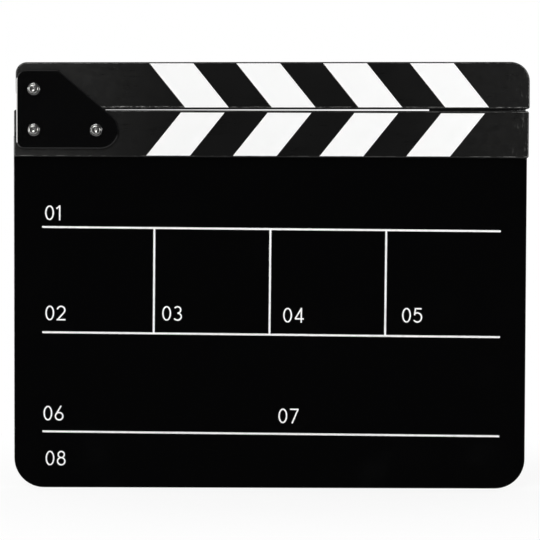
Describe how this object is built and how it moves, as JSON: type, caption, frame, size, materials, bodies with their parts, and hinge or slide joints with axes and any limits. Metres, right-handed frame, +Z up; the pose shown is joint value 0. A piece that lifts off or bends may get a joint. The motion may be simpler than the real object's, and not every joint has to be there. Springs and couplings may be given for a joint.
{
  "type": "clapperboard",
  "caption": "Clapperboard: a black acrylic slate in the groove of a striped wooden stick, with a matching stick hinged between plates at one end to swing open and clap shut.",
  "frame": {"origin": "middle of the slate's lower edge, in the middle of the sheet's thickness", "axes": "+X along the sticks from the hinge to the free end, -Y out of the printed face towards the camera, +Z up to the sticks"},
  "size_m": [0.301, 0.0222, 0.2501],
  "materials": {
    "slate_acrylic": "polished black acrylic",
    "stick_paint": "satin black paint on wood",
    "stripe_white": "white film",
    "plate_enamel": "gloss black enamel",
    "bright_steel": "bright nickel plate",
    "sleeve_brass": "turned brass",
    "nylon": "natural nylon",
    "magnet_rubber": "dull magnetic rubber"
  },
  "bodies": {
    "board": {"slate_board": "slate_acrylic", "lower_stick": "stick_paint", "lower_stripes": "stripe_white", "lower_magnet_strip": "magnet_rubber", "front_hinge_plate": "plate_enamel", "rear_hinge_plate": "plate_enamel", "pivot_sleeve": "sleeve_brass", "front_friction_washer": "nylon", "rear_friction_washer": "nylon", "lock_nut_ring": "nylon", "pivot_screw": "bright_steel", "pivot_front_washer": "bright_steel", "pivot_rear_washer": "bright_steel", "pivot_lock_nut": "bright_steel", "plate_screws": "bright_steel", "plate_front_washers": "bright_steel", "plate_rear_washers": "bright_steel", "plate_nuts": "bright_steel"},
    "clapper": {"upper_stick": "stick_paint", "upper_stripes": "stripe_white", "upper_magnet_strip": "magnet_rubber"}
  },
  "joints": [
    {"name": "clap_hinge", "type": "hinge", "parent": "board", "child": "clapper", "pos_m": [-0.1375, 0, 0.23335], "axis": [0, -1, 0], "range_deg": [0, 95]}
  ]
}
